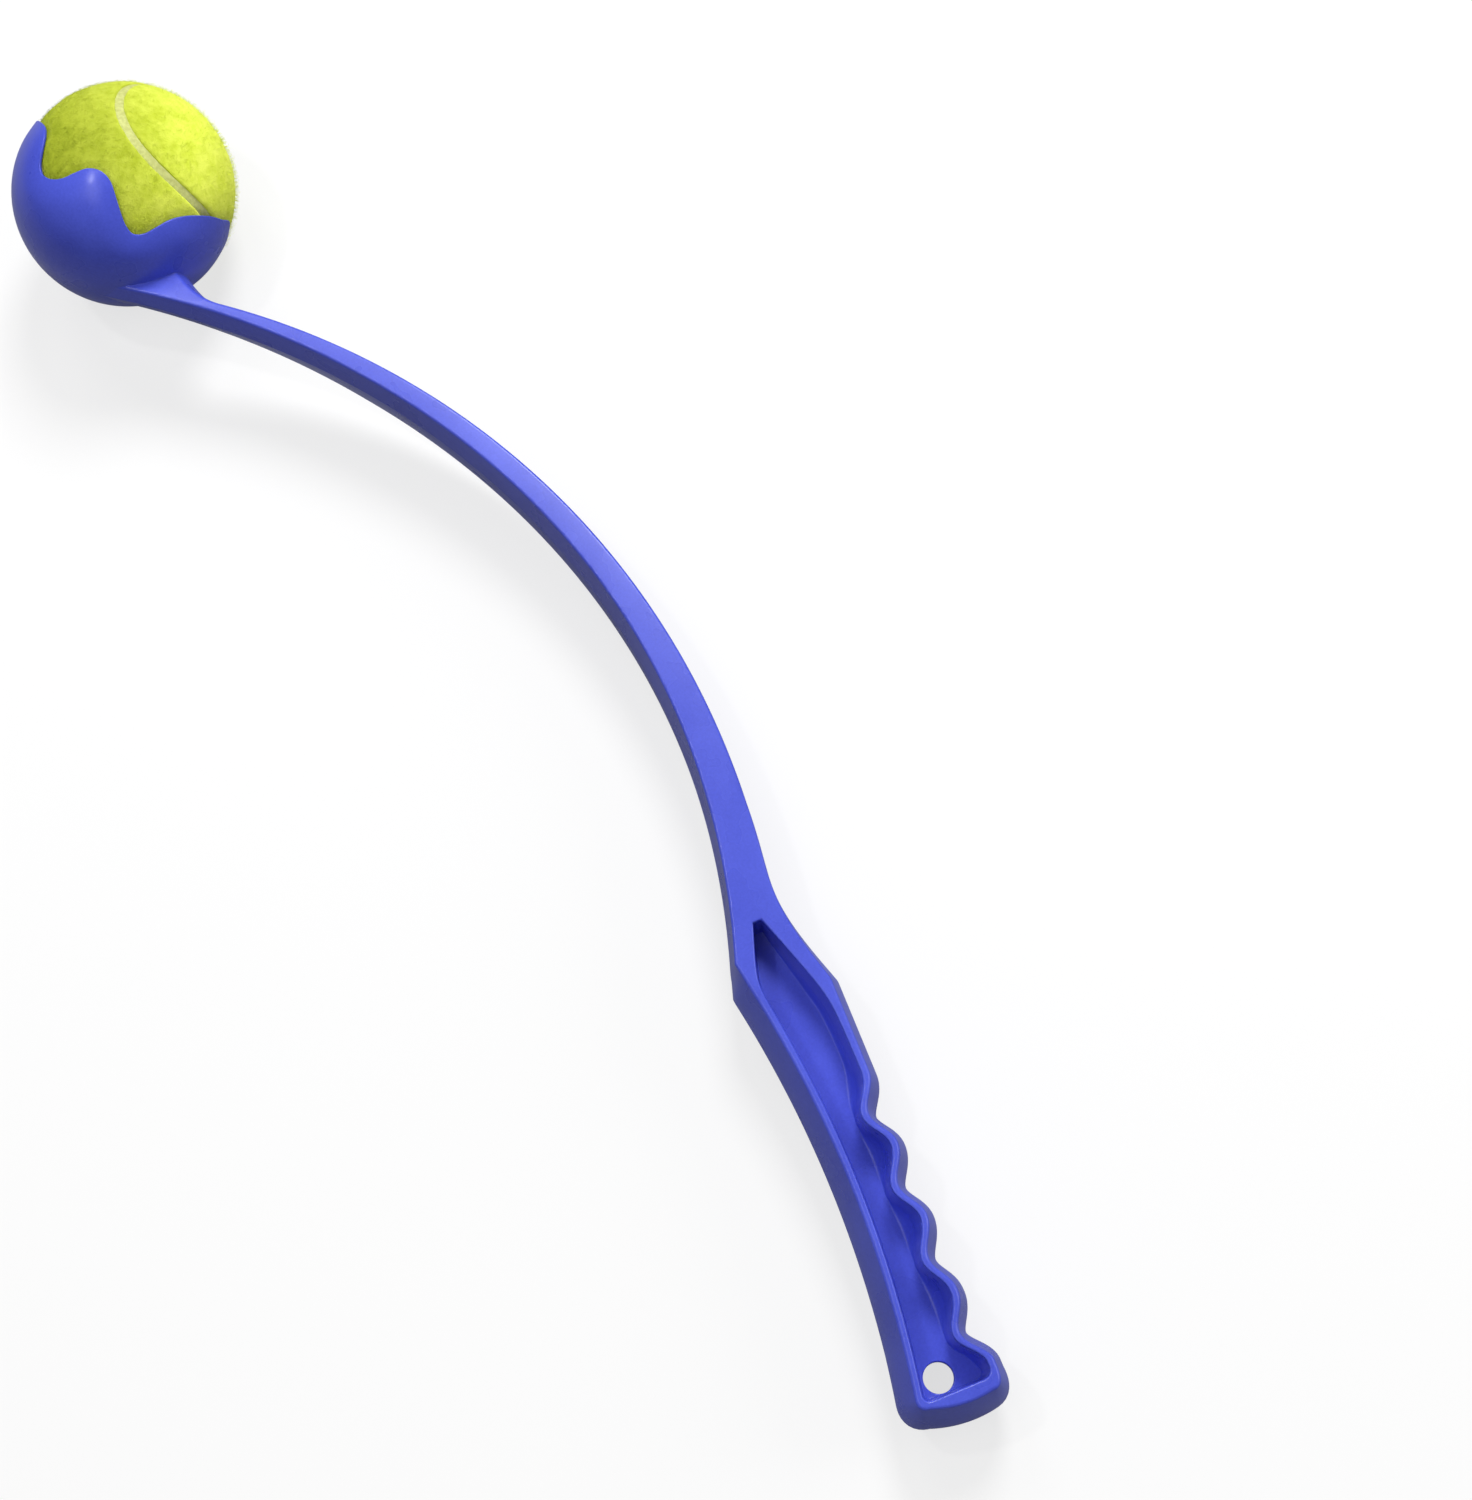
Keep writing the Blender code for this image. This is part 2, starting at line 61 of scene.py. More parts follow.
ballCentre = Vector([(min(values) + max(values)) / 2 for values in zip(*feltCorners)])
rightAxis = Matrix.Rotation(math.radians(-mouthDeg), 3, sideAxis) @ mouthAxis
turned = Matrix((rightAxis, sideAxis.cross(rightAxis), sideAxis)).transposed().to_4x4()
laid = Matrix.Translation(ballCentre) @ turned
toFrame = laid @ Matrix.Scale(mm, 4)


def heading(degrees):
    turn = math.radians(degrees)
    return Vector((math.cos(turn), math.sin(turn)))


def cubic(start, startPull, endPull, end, share):
    rest = 1 - share
    return rest**3 * start + 3 * rest**2 * share * startPull + 3 * rest * share**2 * endPull + share**3 * end


def quadratic(start, pull, end, share):
    return cubic(start, start.lerp(pull, 2 / 3), end.lerp(pull, 2 / 3), end, share)


def held(value):  # within 0 and 1
    return min(max(value, 0.0), 1.0)


def linear(hexCode):  # sRGB hex to the linear colour that a shader reads
    values = [int(hexCode[i : i + 2], 16) / 255 for i in (0, 2, 4)]
    return tuple(v / 12.92 if v <= 0.04045 else ((v + 0.055) / 1.055) ** 2.4 for v in values) + (1,)


def between(tints):  # both ends of a mix of colours
    return {"A": linear(tints[0]), "B": linear(tints[1])}


def addNode(tree, kind, inputs=None, **settings):
    node = tree.nodes.new("ShaderNode" + kind)
    for name, value in settings.items():
        setattr(node, name, value)
    for name, value in (inputs or {}).items():
        if isinstance(value, bpy.types.NodeSocket):
            tree.links.new(value, node.inputs[name])
        else:
            node.inputs[name].default_value = value
    return node


def startMaterial(name):
    made = bpy.data.materials.new(name)
    made.use_nodes = True
    tree = made.node_tree
    tree.nodes.clear()
    place = addNode(tree, "TexCoord").outputs["Object"]
    return made, tree, place


def closeMaterial(tree, surface):
    addNode(tree, "OutputMaterial", {"Surface": surface})


def pulled(mesh, row, places, closed=True, apart=False):  # extrudes a row of points to its next places
    pairs = list(zip(row[::2], row[1::2])) if apart else list(zip(row, row[1:]))
    if closed and not apart:
        pairs.append((row[-1], row[0]))
    made = bmesh.ops.extrude_edge_only(mesh, edges=[mesh.edges.get(pair) for pair in pairs])["geom"]
    number = {vert: i for i, vert in enumerate(row)}
    following = [None] * len(row)
    for vert in made:
        if isinstance(vert, bmesh.types.BMVert):
            for edge in vert.link_edges:
                if edge.other_vert(vert) in number:
                    following[number[edge.other_vert(vert)]] = vert
    for vert, place in zip(following, places):
        vert.co = place
    return following


def firstRow(mesh, places, closed=True):
    row = [mesh.verts.new(place) for place in places]
    for first, second in zip(row, row[1:]):
        mesh.edges.new((first, second))
    if closed:
        mesh.edges.new((row[-1], row[0]))
    return row


def roundEdges(mesh, edges, size, steps):
    bmesh.ops.bevel(
        mesh, geom=edges, offset=size, offset_type="OFFSET", affect="EDGES", segments=steps,
        profile=0.5, clamp_overlap=False, material=-1,
    )


def makePiece(name, mesh, place=None):
    bmesh.ops.recalc_face_normals(mesh, faces=mesh.faces)
    if place is not None:
        mesh.transform(place)
    data = bpy.data.meshes.new(name)
    mesh.to_mesh(data)
    mesh.free()
    data.shade_smooth()
    piece = bpy.data.objects.new(name, data)
    bpy.context.scene.collection.objects.link(piece)
    return piece


def combine(piece, tool, operation):  # one boolean step, applied, and its tool removed
    step = piece.modifiers.new("cut", "BOOLEAN")
    step.operation = operation
    step.object = tool
    step.solver = "EXACT"
    graph = bpy.context.evaluated_depsgraph_get()
    data = bpy.data.meshes.new_from_object(piece.evaluated_get(graph))
    piece.modifiers.clear()
    piece.data = data
    bpy.data.objects.remove(tool)


# The moulding: arm and handle, then their recesses, the hanging hole and the cup
arm = {
    "reach": 299.9,  # from the ball's centre to the kink where the arm meets the handle
    "reachDeg": -52.69,
    "leaveDeg": -100,  # where round the ball the hollow edge starts
    "arriveDeg": -86.6,  # and which way it runs at the kink
    "leavePull": 0.306,  # shares of the reach
    "arrivePull": 0.387,
    "widths": (1.6, 7.8, 5.0, 13.0),  # from the hollow edge to the crown, eased along the arm
    "thickAtCup": 11.0,
    "draft": 1.1,
    "hollowInset": 1.3,  # how far the side face stands back from the hollow wall at the cup
    "insetRun": 0.3,
    "neckEnd": 0.13,
    "neckDeg": -60.5,
    "neckBlend": 8.2,
    "neckBulge": 2.8,
    "rootDeg": -104,
    "rootDepth": 2.0,
    "shoulderStart": 0.87,
    "shoulderRise": 16.5,
    "shoulderLeave": 23.5,
    "shoulderArrive": 31.0,
    "chordShare": 0.041,
    "tangentShare": 0.003,
    "edgeRound": 0.8,
    "roundSteps": 4,
    "roundAngle": 0.6,  # radians; only edges sharper than this are rounded
    "neckSteps": 24,
    "steps": 110,
    "shoulderSteps": 36,
    "kinkStep": 27,  # the shoulder's step at which the hollow edge reaches the kink
}
handle = {
    "deg": -68.08,
    "length": 129.5,
    "thick": 28.0,
    "spineHollow": 6.5,
    "spineBulge": 4.3,
    "fingerBulge": 3.2,
    "heelBulge": 4.45,
    "bulgePower": 1.35,
    "bulgeRun": 6,
    "heelBulgeRun": 14,
    "shoulderAlong": 13.0,
    "shoulderAcross": 22.9,
    "grooveStart": 40.5,
    "groovePitch": 20.9,
    "grooves": 4,
    "grooveFloor": 18.2,
    "crest": 4.6,
    "crestFall": 0.25,
    "heelFlare": 5.8,
    "skew": 1.1,
    "heelSlant": 2.2,
    "heelCorner": 3.4,
    "heelBow": 1.2,
    "steps": 170,
    "cornerSteps": 10,
    "heelSteps": 8,
    "levels": (0.8, 0.6, 0.4, 0.22, 0.1, 0.018, 0),  # rows of points down the wall, as shares of its half
    "partingLine": 0.05,
}

halfThick = handle["thick"] / 2
kink = arm["reach"] * heading(arm["reachDeg"])
handleAxis = heading(handle["deg"])
handleSide = Vector((-handleAxis.y, handleAxis.x))


def onHandle(along, across):
    return kink + along * handleAxis + across * handleSide


def hollowEdge(share):
    start = cupOutside(heading(arm["leaveDeg"]).to_3d()).to_2d()
    startPull = start + arm["leavePull"] * arm["reach"] * heading(arm["leaveDeg"] + 90)
    endPull = kink - arm["arrivePull"] * arm["reach"] * heading(arm["arriveDeg"])
    return cubic(start, startPull, endPull, kink, share)


def crownEdge(share):
    step = arm["tangentShare"]
    along = (hollowEdge(share + step) - hollowEdge(share - step)).normalized()
    return hollowEdge(share) + cubic(*arm["widths"], share) * Vector((-along.y, along.x))


def faceEdge(share):  # the side face's hollow edge, and how far it stands back from the wall's
    inset = arm["hollowInset"] * max(0.0, 1 - share / arm["insetRun"])
    return hollowEdge(share).lerp(crownEdge(share), inset / cubic(*arm["widths"], share)), inset


def spine(along):
    return handle["spineHollow"] * (1 - (along / handle["length"] * 2 - 1) ** 2)


def fingerEdge(along):
    last = handle["grooves"] - 1
    run = (along - handle["grooveStart"]) / handle["groovePitch"]
    number = min(max(math.floor(run), 0), last)
    share = held(run - number)
    if run < 0:
        top = handle["grooveFloor"] + handle["crest"]
        lead = (along - handle["shoulderAlong"]) / (handle["grooveStart"] - handle["shoulderAlong"])
        return handle["shoulderAcross"] + lead * (top - handle["shoulderAcross"])
    crest = handle["crest"] - handle["crestFall"] * (number + share)
    if number == last:
        crest += share * (handle["heelFlare"] - handle["crest"] + handle["crestFall"] * handle["grooves"])
    return handle["grooveFloor"] + crest * math.cos(math.pi * share ** handle["skew"]) ** 2


def armHalf(share):
    thin = arm["thickAtCup"] / 2
    return thin + math.sin(min(1.0, share / arm["shoulderStart"]) * math.pi / 2) * (halfThick - thin)


def stations():  # both edges, half thickness and the bulge of either wall, from the cup to the heel
    rows = []
    draft = arm["draft"]
    neckEnd = crownEdge(arm["neckEnd"])
    neckStart = cup["middle"] * heading(arm["neckDeg"])
    neckWay = (crownEdge(arm["neckEnd"] + arm["chordShare"]) - neckEnd).normalized()
    neckPull = neckEnd - arm["neckBlend"] * neckWay
    root = cup["middle"] * heading(arm["rootDeg"])
    root += arm["rootDepth"] * (root - hollowEdge(0)).normalized()
    deepStart = neckStart + arm["rootDepth"] * (neckStart - neckPull).normalized()
    rows.append((root, deepStart, armHalf(0), 0, arm["neckBulge"]))
    for step in range(arm["neckSteps"]):
        share = step / arm["neckSteps"]
        part = arm["neckEnd"] * share
        right = quadratic(neckStart, neckPull, neckEnd, (step + 1) / (arm["neckSteps"] + 1))
        rightBulge = arm["neckBulge"] + share * (draft - arm["neckBulge"])
        left, inset = faceEdge(part)
        rows.append((left, right, armHalf(part), inset + draft * share, rightBulge))
    for step in range(arm["steps"]):
        share = arm["neckEnd"] + (arm["shoulderStart"] - arm["neckEnd"]) * step / arm["steps"]
        left, inset = faceEdge(share)
        rows.append((left, crownEdge(share), armHalf(share), inset + draft, draft))

    start = crownEdge(arm["shoulderStart"])
    before = crownEdge(arm["shoulderStart"] - arm["chordShare"])
    end = onHandle(handle["shoulderAlong"], handle["shoulderAcross"])
    startPull = start + arm["shoulderLeave"] * (start - before).normalized()
    endPull = end - arm["shoulderArrive"] * heading(handle["deg"] + arm["shoulderRise"])
    kinkStep = arm["kinkStep"]
    for step in range(arm["shoulderSteps"]):
        way = step / arm["shoulderSteps"]
        right = cubic(start, startPull, endPull, end, way)
        rightBulge = draft + max(0.0, way * 2 - 1) * (handle["fingerBulge"] - draft)
        if step <= kinkStep:
            share = arm["shoulderStart"] + (1 - arm["shoulderStart"]) * step / kinkStep
            rows.append((hollowEdge(share), right, armHalf(share), draft, rightBulge))
        else:
            along = handle["shoulderAlong"] * (step - kinkStep) / (arm["shoulderSteps"] - kinkStep)
            leftBulge = draft + min(1.0, along / handle["bulgeRun"]) * (handle["spineBulge"] - draft)
            rows.append((onHandle(along, spine(along)), right, halfThick, leftBulge, rightBulge))

    last = handle["length"] - handle["heelCorner"]
    for step in range(handle["steps"] + 1):
        along = handle["shoulderAlong"] + (last - handle["shoulderAlong"]) * step / handle["steps"]
        swell = max(0.0, 1 - (last - along) / handle["heelBulgeRun"])
        leftBulge = handle["spineBulge"] + swell * (handle["heelBulge"] - handle["spineBulge"])
        edges = (onHandle(along, spine(along)), onHandle(along, fingerEdge(along)))
        rows.append((*edges, halfThick, leftBulge, handle["fingerBulge"]))

    low = onHandle(handle["length"], 0)
    lowStart = onHandle(last, spine(last))
    highStart = onHandle(last, fingerEdge(last))
    high = onHandle(handle["length"] + handle["heelSlant"], fingerEdge(handle["length"]))
    lowEnd = low + handle["heelCorner"] * (high - low).normalized()
    highEnd = high - handle["heelCorner"] * (high - low).normalized()
    heelBulge = handle["heelBulge"]
    for step in range(1, handle["cornerSteps"] + 1):
        share = step / handle["cornerSteps"]
        edges = (quadratic(lowStart, low, lowEnd, share), quadratic(highStart, high, highEnd, share))
        rightBulge = handle["fingerBulge"] + share * (heelBulge - handle["fingerBulge"])
        rows.append((*edges, halfThick, heelBulge, rightBulge))
    for step in range(1, handle["heelSteps"]):
        share = step / handle["heelSteps"]
        bow = handle["heelBow"] * (1 - (1 - share) ** 2) * handleAxis
        edges = (lowEnd.lerp(highEnd, share / 2) + bow, highEnd.lerp(lowEnd, share / 2) + bow)
        rows.append((*edges, halfThick, heelBulge, heelBulge))
    return rows


def armAndHandle():  # upper half first: side face, rounded edge, bulged wall; then its mirror image
    rows = stations()
    mesh = bmesh.new()
    pair = firstRow(mesh, [(*rows[0][0], rows[0][2]), (*rows[0][1], rows[0][2])], closed=False)
    lefts, rights = [pair[0]], [pair[1]]
    for left, right, half, *_ in rows[1:]:
        pair = pulled(mesh, pair, [(*left, half), (*right, half)], closed=False)
        lefts.append(pair[0])
        rights.append(pair[1])
    flats = [face for face in mesh.faces if all(v.co.z > halfThick - tiny for v in face.verts)]
    bmesh.ops.dissolve_faces(mesh, faces=flats)
    loop = lefts + rights[::-1]
    edge = [vert.co.to_2d() for vert in loop]
    halves = [row[2] for row in rows] + [row[2] for row in rows[::-1]]
    bulges = [row[3] for row in rows] + [row[4] for row in rows[::-1]]
    count = len(edge)
    outwards = []
    for i, point in enumerate(edge):
        along = (point - edge[i - 1]).normalized() + (edge[(i + 1) % count] - point).normalized()
        along.normalize()
        outwards.append(Vector((along.y, -along.x)))
    row = loop
    for level in handle["levels"]:
        places = []
        for i, point in enumerate(edge):
            offset = bulges[i] * (1 - level ** handle["bulgePower"]) - (handle["partingLine"] if level else 0)
            places.append((*(point + max(0.0, offset) * outwards[i]), level * halves[i]))
        row = pulled(mesh, row, places)
    rim = [mesh.edges.get(pair) for pair in zip(loop, loop[1:] + loop[:1])]
    sharp = [e for e in rim if e.calc_face_angle() > arm["roundAngle"]]
    roundEdges(mesh, sharp, arm["edgeRound"], arm["roundSteps"])
    bmesh.ops.mirror(mesh, geom=mesh.verts[:] + mesh.edges[:] + mesh.faces[:], axis="Z", merge_dist=tiny)
    bmesh.ops.remove_doubles(mesh, verts=[v for v in mesh.verts if abs(v.co.z) < tiny], dist=tiny / 2)
    return makePiece("moulding", mesh)


recess = {
    "web": 3.2,
    "spineRim": 1.9,
    "fingerRim": 2.0,
    "heelRim": 2.6,
    "tipAlong": 9.0,
    "tipAcross": 10.2,
    "tipWidth": 2.6,
    "spineSlope": -0.35,  # how fast either edge moves away from the tip, until it follows the handle's
    "fingerSlope": 0.344,
    "blend": 2.0,
    "corner": 2.4,
    "floorEdge": 15.4,
    "floorStep": 2.4,
    "shoulderWider": 3.0,
    "narrowRun": 14.0,
    "floorDraft": 1.0,
    "spineDraft": 1.2,
    "draftRun": 22.0,
    "widensFromHeel": 15.5,
    "widenSlope": 0.5,
    "fillet": 4.2,
    "wallShare": 0.30,
    "filletPower": 0.45,
    "filletLevels": (1, 0.8, 0.62, 0.46, 0.32, 0.2, 0.11, 0.05, 0.015, 0),  # shares of its height
    "steps": 150,
    "spread": 0.8,
    "overrun": 2.0,
    "mouthRound": 0.6,
    "roundSteps": 3,
    "roundAngle": 0.7,
}


def softLeast(first, second, blend):
    return (first + second - math.hypot(first - second, blend)) / 2


def softMost(first, second, blend):
    return (first + second + math.hypot(first - second, blend)) / 2


def recessEdges(share, inset):  # left and right edge at the mouth, or at the floor when inset is 1
    draft = recess["floorDraft"]
    top = -recess["tipAlong"] + inset * draft
    bottom = handle["length"] + handle["heelSlant"] / 2 - recess["heelRim"] - inset * draft
    along = top + (bottom - top) * math.sin(share * math.pi / 2) ** recess["spread"]
    pastTip = along + recess["tipAlong"]
    left = recess["tipAcross"] - recess["tipWidth"] / 2 + recess["spineSlope"] * pastTip
    left = softMost(left, spine(along) + recess["spineRim"], recess["blend"])
    right = recess["tipAcross"] + recess["tipWidth"] / 2 + recess["fingerSlope"] * pastTip
    rimEdge = fingerEdge(along) - recess["fingerRim"]
    if inset:
        left += draft / 2 + recess["spineDraft"] * min(1.0, pastTip / recess["draftRun"])
        widening = max(0.0, along - handle["length"] + recess["widensFromHeel"]) * recess["widenSlope"]
        before = held((handle["grooveStart"] + recess["narrowRun"] / 2 - along) / recess["narrowRun"])
        widening += recess["shoulderWider"] * before**2 * (3 - 2 * before)
        right -= recess["floorStep"] * min(1.0, pastTip / (handle["shoulderAlong"] + recess["tipAlong"]))
        right = min(softLeast(right, recess["floorEdge"] + widening, recess["blend"]), rimEdge - draft)
        right = max(right, left + draft)
    else:
        right = softLeast(right, rimEdge, recess["blend"])
    into = held((along - bottom + recess["corner"]) / recess["corner"])
    drawn = recess["corner"] * (1 - math.sqrt(1 - into**2))
    return onHandle(along, left + drawn), onHandle(along, right - drawn)


def recessCutter():  # steep walls that run out in a wide fillet on the floor, for both sides at once
    shares = [step / recess["steps"] for step in range(recess["steps"] + 1)]
    mouth = [recessEdges(share, 0) for share in shares]
    floor = [recessEdges(share, 1) for share in shares]
    web = recess["web"] / 2

    def places(share, height):
        edges = [[m.lerp(f, share) for m, f in zip(*pair)] for pair in zip(mouth, floor)]
        outline = [pair[0] for pair in edges] + [pair[1] for pair in edges[::-1]]
        return [(*point, height) for point in outline]

    mesh = bmesh.new()
    deepest = places(1, web)
    count = len(shares)
    pair = firstRow(mesh, [deepest[0], deepest[-1]], closed=False)
    lefts, rights = [pair[0]], [pair[1]]
    for i in range(1, count):
        pair = pulled(mesh, pair, [deepest[i], deepest[-1 - i]], closed=False)
        lefts.append(pair[0])
        rights.append(pair[1])
    row = lefts + rights[::-1]
    for level in recess["filletLevels"][-2::-1]:
        share = 1 - (1 - recess["wallShare"]) * level ** recess["filletPower"]
        row = pulled(mesh, row, places(share, web + level * recess["fillet"]))
    row = pulled(mesh, row, places(0, halfThick))
    row = pulled(mesh, row, places(0, halfThick + recess["overrun"]))
    mesh.faces.new(row)
    bmesh.ops.mirror(mesh, geom=mesh.verts[:] + mesh.edges[:] + mesh.faces[:], axis="Z", merge_dist=0)
    return makePiece("recessCutter", mesh)


hangHole = {
    "across": 9.7,
    "fromHeel": 6.8,
    "diameter": 8.5,
    "cutterDepth": 12.8,
    "steps": 64,
    "round": 0.3,
    "roundSteps": 3,
    "roundAngle": 1.2,
}


def holeCutter():
    mesh = bmesh.new()
    radius = hangHole["diameter"] / 2
    bmesh.ops.create_cone(
        mesh, cap_ends=True, segments=hangHole["steps"], radius1=radius, radius2=radius,
        depth=hangHole["cutterDepth"],
    )
    middle = onHandle(handle["length"] - hangHole["fromHeel"], hangHole["across"])
    bmesh.ops.translate(mesh, verts=mesh.verts, vec=middle.to_3d())
    return makePiece("holeCutter", mesh)


cup = {
    "inner": 31.8,
    "outer": 32.96,
    "setBack": 1.8,  # the outside's centre lies this far behind the ball's, so the wall thickens to the pole
    "middle": 32.2,  # where in the wall the arm ends
    "rim": (  # degrees round the mouth's axis from the arm's side, and degrees away from that axis
        (0, 82), (8, 85.4), (19, 90.2), (28.6, 96.3), (35.7, 102.2), (40.2, 108), (43, 114.5),
        (46, 121.3), (51, 125), (58, 123.6), (65, 119.2), (71.5, 113.8), (78, 108.3), (85, 106),
        (92, 107.6), (98, 112.2), (104.5, 117), (112.5, 119.2), (120, 118), (123.7, 113.5),
        (124.9, 107.5), (126.3, 101), (128.8, 95.6), (133.5, 91.6), (141, 88.6), (150, 86),
        (159, 84.6), (169, 83), (180, 81.4),
    ),
    "rimWall": 0.9,  # the wall's thickness at the lobes' lip
    "thinRun": 8,  # how far from the rim the wall begins to thin
    "rimRound": 0.2,
    "roundSteps": 3,
    "roundAngle": 1,
    "rimSamples": 720,
    "columns": 270,
    "rings": 40,
    "insideColumns": 128,
    "insideRings": 64,
}
mouthWay = heading(mouthDeg).to_3d()
armWay = heading(mouthDeg - 90).to_3d()
upWay = Vector((0, 0, 1))


def cupOutside(way):  # the point this way from the ball's centre on the cup's outside
    behind = -cup["setBack"] * mouthWay
    beside = behind.dot(way)
    return (beside + math.sqrt(beside**2 + cup["outer"] ** 2 - behind.length_squared)) * way


def throughRim(share):  # a smooth closed curve through the rim's points and their mirror images
    points = list(cup["rim"]) + [(360 - turn, away) for turn, away in cup["rim"][-2:0:-1]]
    place = share * len(points)
    index = math.floor(place)
    share = place - index
    before, start, end, after = (Vector(points[(index + k) % len(points)]) for k in (-1, 0, 1, 2))
    for point in (before, start, after, end):
        point.x += 360 * round((start.x - point.x) / 360)
    return 0.5 * (
        2 * start + share * (end - before) + share**2 * (2 * before - 5 * start + 4 * end - after)
        + share**3 * (3 * start - before - 3 * end + after)
    )


rimTrace = [throughRim(step / cup["rimSamples"]) for step in range(cup["rimSamples"])]
rimTurns = [point.x for point in rimTrace]
rimTree = kdtree.KDTree(len(rimTrace))
for number, point in enumerate(rimTrace):
    turn, away = math.radians(point.x), math.radians(point.y)
    side = math.cos(turn) * armWay + math.sin(turn) * upWay
    rimTree.insert(math.cos(away) * mouthWay + math.sin(away) * side, number)
rimTree.balance()


def wallOutside(way):  # the cup's outside, with its wall thinned towards the rim
    least = cup["inner"] + cup["rimWall"]
    share = min(rimTree.find(way)[2] * cup["inner"] / cup["thinRun"], 1.0)
    return (least + (cupOutside(way).length - least) * share * (2 - share)) * way


def cupShell():  # rings of points from the lobed rim down to the cup's pole, given a wall
    rim = []
    for step in range(cup["columns"]):
        turn, away = (math.radians(v) for v in throughRim(step / cup["columns"]))
        sideways = math.cos(turn) * armWay + math.sin(turn) * upWay
        rim.append((away, sideways))
    mesh = bmesh.new()

    def ring(share):
        angles = [(away + (math.pi - away) * share, sideways) for away, sideways in rim]
        return [wallOutside(math.cos(a) * mouthWay + math.sin(a) * s) for a, s in angles]

    row = firstRow(mesh, ring(0))
    for step in range(1, cup["rings"]):
        row = pulled(mesh, row, ring(step / cup["rings"]))
    tip = bmesh.ops.extrude_edge_only(mesh, edges=[mesh.edges.get(p) for p in zip(row, row[1:] + row[:1])])
    tipVerts = [v for v in tip["geom"] if isinstance(v, bmesh.types.BMVert)]
    for vert in tipVerts:
        vert.co = cupOutside(-mouthWay)
    bmesh.ops.remove_doubles(mesh, verts=tipVerts, dist=tiny)
    bmesh.ops.recalc_face_normals(mesh, faces=mesh.faces)
    bmesh.ops.solidify(mesh, geom=mesh.faces[:], thickness=cup["rimWall"])
    ways = [vert.co.normalized() for vert in mesh.verts]
    depths = [wallOutside(way).length - vert.co.length for way, vert in zip(ways, mesh.verts)]
    middle = (min(depths) + max(depths)) / 2
    for vert, way, depth in zip(mesh.verts, ways, depths):
        vert.co = wallOutside(way) if depth < middle else cup["inner"] * way
    sharp = [e for e in mesh.edges if len(e.link_faces) == 2 and e.calc_face_angle() > cup["roundAngle"]]
    roundEdges(mesh, sharp, cup["rimRound"], cup["roundSteps"])
    return makePiece("cupShell", mesh)


def makeMoulding():
    piece = armAndHandle()
    combine(piece, recessCutter(), "DIFFERENCE")
    combine(piece, holeCutter(), "DIFFERENCE")
    mesh = bmesh.new()
    mesh.from_mesh(piece.data)
    mouth = [
        e for e in mesh.edges
        if len(e.link_faces) == 2 and e.calc_face_angle() > recess["roundAngle"]
        and all(abs(abs(v.co.z) - halfThick) < tiny for v in e.verts)
    ]
    roundEdges(mesh, mouth, recess["mouthRound"], recess["roundSteps"])
    bore = [
        e for e in mesh.edges
        if len(e.link_faces) == 2 and e.calc_face_angle() > hangHole["roundAngle"]
        and all(abs(abs(v.co.z) - recess["web"] / 2) < tiny for v in e.verts)
    ]
    roundEdges(mesh, bore, hangHole["round"], hangHole["roundSteps"])
    bpy.data.objects.remove(piece)
    piece = makePiece("blueMoulding", mesh)
    room = bmesh.new()
    bmesh.ops.create_uvsphere(
        room, u_segments=cup["insideColumns"], v_segments=cup["insideRings"], radius=cup["middle"]
    )
    combine(piece, makePiece("cupInside", room), "DIFFERENCE")
    combine(piece, cupShell(), "UNION")
    piece.data.transform(toFrame)
    piece.data.shade_smooth()
    piece.modifiers.new("faceNormals", "WEIGHTED_NORMAL").keep_sharp = True
    return piece


plastic = {
    "tints": ("434FC6", "515FDC"),
    "tintRun": (0.3, 0.7),
    "cloudSize": 22,
    "waveSize": 6,  # the slow waviness of a moulded face
    "grainSize": 0.7,  # coarser than a mould's real grain, so that it shows
    "grainShare": 0.4,
    "grainHeight": 0.25,
    "roughness": (0.24, 0.32),
    "bumpHeight": 0.05,
}


def polypropylene():  # glossy injection-moulded PP: deep blue, waxy, faintly uneven from the tool
    made, tree, place = startMaterial("bluePolypropylene")
    cloudScale = 1 / (plastic["cloudSize"] * mm)
    waveScale = 1 / (plastic["waveSize"] * mm)
    grainScale = 1 / (plastic["grainSize"] * mm)
    cloud = addNode(tree, "TexNoise", {"Vector": place, "Scale": cloudScale, "Detail": 3.0}).outputs["Fac"]
    fine = addNode(tree, "TexNoise", {"Vector": place, "Scale": grainScale, "Detail": 2.0}).outputs["Fac"]
    wave = addNode(tree, "TexNoise", {"Vector": place, "Scale": waveScale, "Detail": 1.0}).outputs["Fac"]
    grain = addNode(tree, "Mix", {"Factor": plastic["grainShare"], "A": cloud, "B": fine}).outputs["Result"]
    spread = addNode(tree, "MapRange", {
        "Value": grain, "From Min": plastic["tintRun"][0], "From Max": plastic["tintRun"][1],
    }).outputs["Result"]
    tint = addNode(tree, "Mix", {"Factor": spread, **between(plastic["tints"])}, data_type="RGBA")
    rough = addNode(tree, "MapRange", {
        "Value": cloud, "To Min": plastic["roughness"][0], "To Max": plastic["roughness"][1],
    }).outputs["Result"]
    height = addNode(tree, "Math", {0: fine, 1: plastic["grainHeight"]}, operation="MULTIPLY").outputs[0]
    height = addNode(tree, "Math", {0: wave, 1: height}, operation="ADD").outputs[0]
    bump = addNode(tree, "Bump", {
        "Height": height, "Strength": 0.25, "Distance": plastic["bumpHeight"] * mm,
    }).outputs["Normal"]
    shader = addNode(tree, "BsdfPrincipled", {
        "Base Color": tint.outputs["Result"], "Roughness": rough, "Normal": bump, "IOR": 1.49,
    })
    closeMaterial(tree, shader.outputs["BSDF"])
    return made


